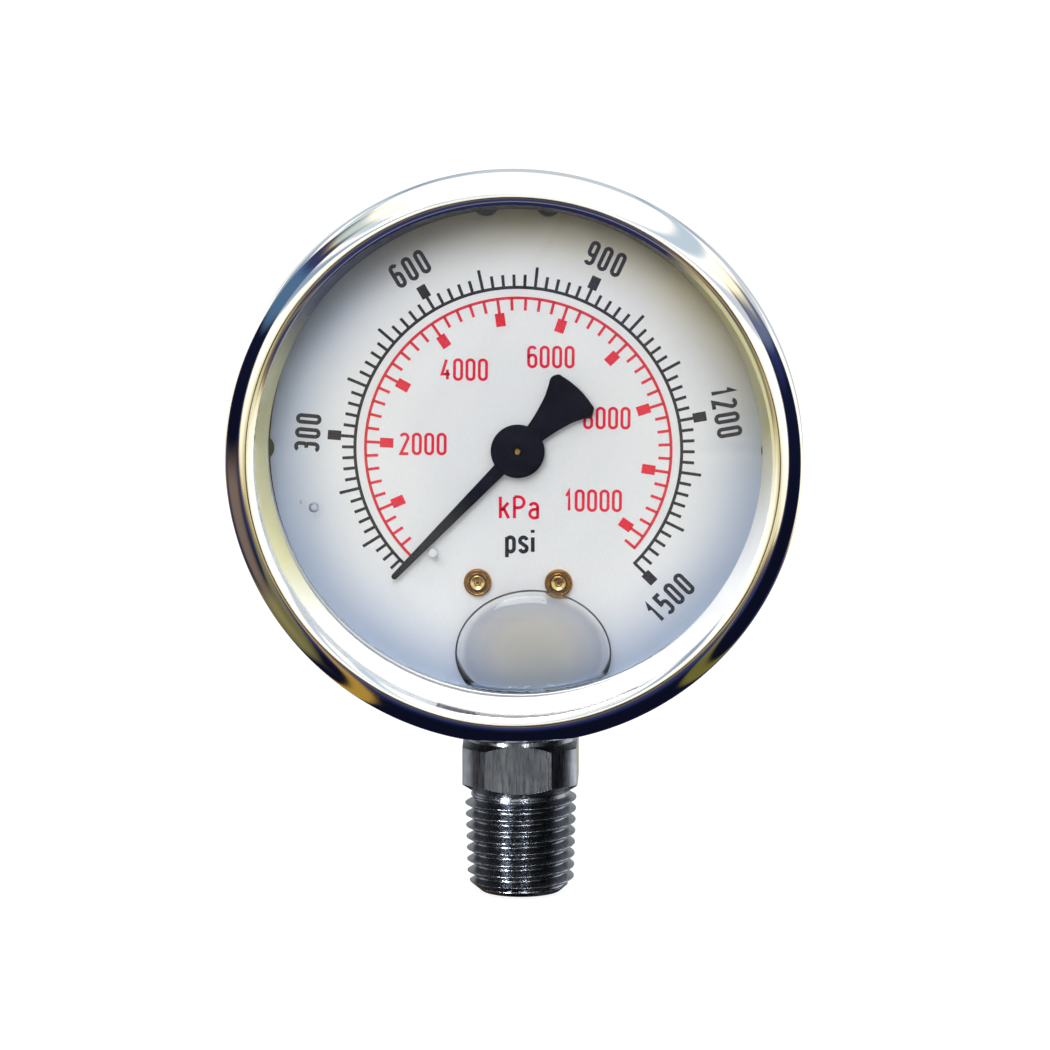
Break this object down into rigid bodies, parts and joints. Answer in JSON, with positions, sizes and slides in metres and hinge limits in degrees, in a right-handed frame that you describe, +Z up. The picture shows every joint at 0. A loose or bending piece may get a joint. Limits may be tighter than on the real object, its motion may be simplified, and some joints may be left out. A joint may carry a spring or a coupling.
{
  "type": "pressure gauge",
  "caption": "Liquid-filled dial pressure gauge with crimped steel bezel, coupled pointer movement and a lower taper-thread stem.",
  "frame": {"origin": "on the stem's axis, at the end face of the thread", "axes": "+X right, +Y away from the reader (the dial faces -Y), +Z up along the stem"},
  "size_m": [0.069, 0.031, 0.0909],
  "materials": {
    "polished_steel": "mirror polished stainless steel",
    "case_steel": "satin drawn stainless steel",
    "nickel": "dull nickel plate with turning marks",
    "window_clear": "clear polished",
    "seal_rubber": "matte moulded",
    "dial_face": "satin white",
    "pin_white": "satin",
    "pointer_black": "satin black",
    "brass": "machined",
    "spring_bronze": "rolled strip"
  },
  "bodies": {
    "housing": {"bezel_ring": "polished_steel", "case": "case_steel", "window": "window_clear", "window_gasket": "seal_rubber", "stem_seal": "seal_rubber", "dial": "dial_face", "dial_screw_left": "brass", "dial_screw_right": "brass", "stop_pin": "pin_white", "hairspring": "spring_bronze", "hairspring_stud": "brass", "movement_front_plate": "brass", "movement_back_plate": "brass", "pillar_upper_left": "brass", "pillar_upper_right": "brass", "pillar_lower_left": "brass", "pillar_screw_upper_left": "nickel", "pillar_screw_upper_right": "nickel", "pillar_screw_lower_left": "nickel", "movement_screw_left": "nickel", "movement_screw_right": "nickel", "bourdon_tube": "spring_bronze", "socket_stem": "nickel", "restrictor_screw": "brass", "socket_screw_left": "nickel", "socket_screw_right": "nickel"},
    "pointer": {"pointer": "pointer_black", "pointer_hub": "pointer_black", "pinion_arbor": "brass", "hairspring_collet": "brass"},
    "sector": {"sector_gear": "brass", "sector_arbor": "nickel", "tail_pin": "nickel"},
    "tube_tip": {"tube_tip": "brass", "tip_pin": "nickel"},
    "link": {"link": "brass"},
    "fill_plug": {"fill_plug": "seal_rubber"}
  },
  "joints": [
    {"name": "pointer_turn", "type": "hinge", "parent": "housing", "child": "pointer", "pos_m": [0, -0.0075, 0.056], "axis": [0, 1, 0], "range_deg": [0, 270], "stiffness_Nm_per_rad": 0.001, "deforming": ["hairspring"]},
    {"name": "sector_turn", "type": "hinge", "parent": "housing", "child": "sector", "pos_m": [0.01044, -0.0015, 0.04441], "axis": [0, 1, 0], "range_deg": [-22.6, 0.1]},
    {"name": "tube_tip_swing", "type": "hinge", "parent": "housing", "child": "tube_tip", "pos_m": [-0.00292, 0.0025, 0.06226], "axis": [0, 1, 0], "range_deg": [-5.1, 0.1], "deforming": ["bourdon_tube"]},
    {"name": "link_turn", "type": "hinge", "parent": "tube_tip", "child": "link", "pos_m": [0.02, -0.00285, 0.046], "axis": [0, 1, 0], "range_deg": [-0.1, 11.3]},
    {"name": "fill_plug_pull", "type": "slide", "parent": "housing", "child": "fill_plug", "axis": [0, 0, 1], "range_m": [0, 0.006]}
  ],
  "couplings": [
    {"joint": "sector_turn", "follows": "pointer_turn", "ratio": -0.083333},
    {"joint": "tube_tip_swing", "follows": "pointer_turn", "ratio": -0.0187},
    {"joint": "link_turn", "follows": "pointer_turn", "ratio": 0.0413}
  ]
}
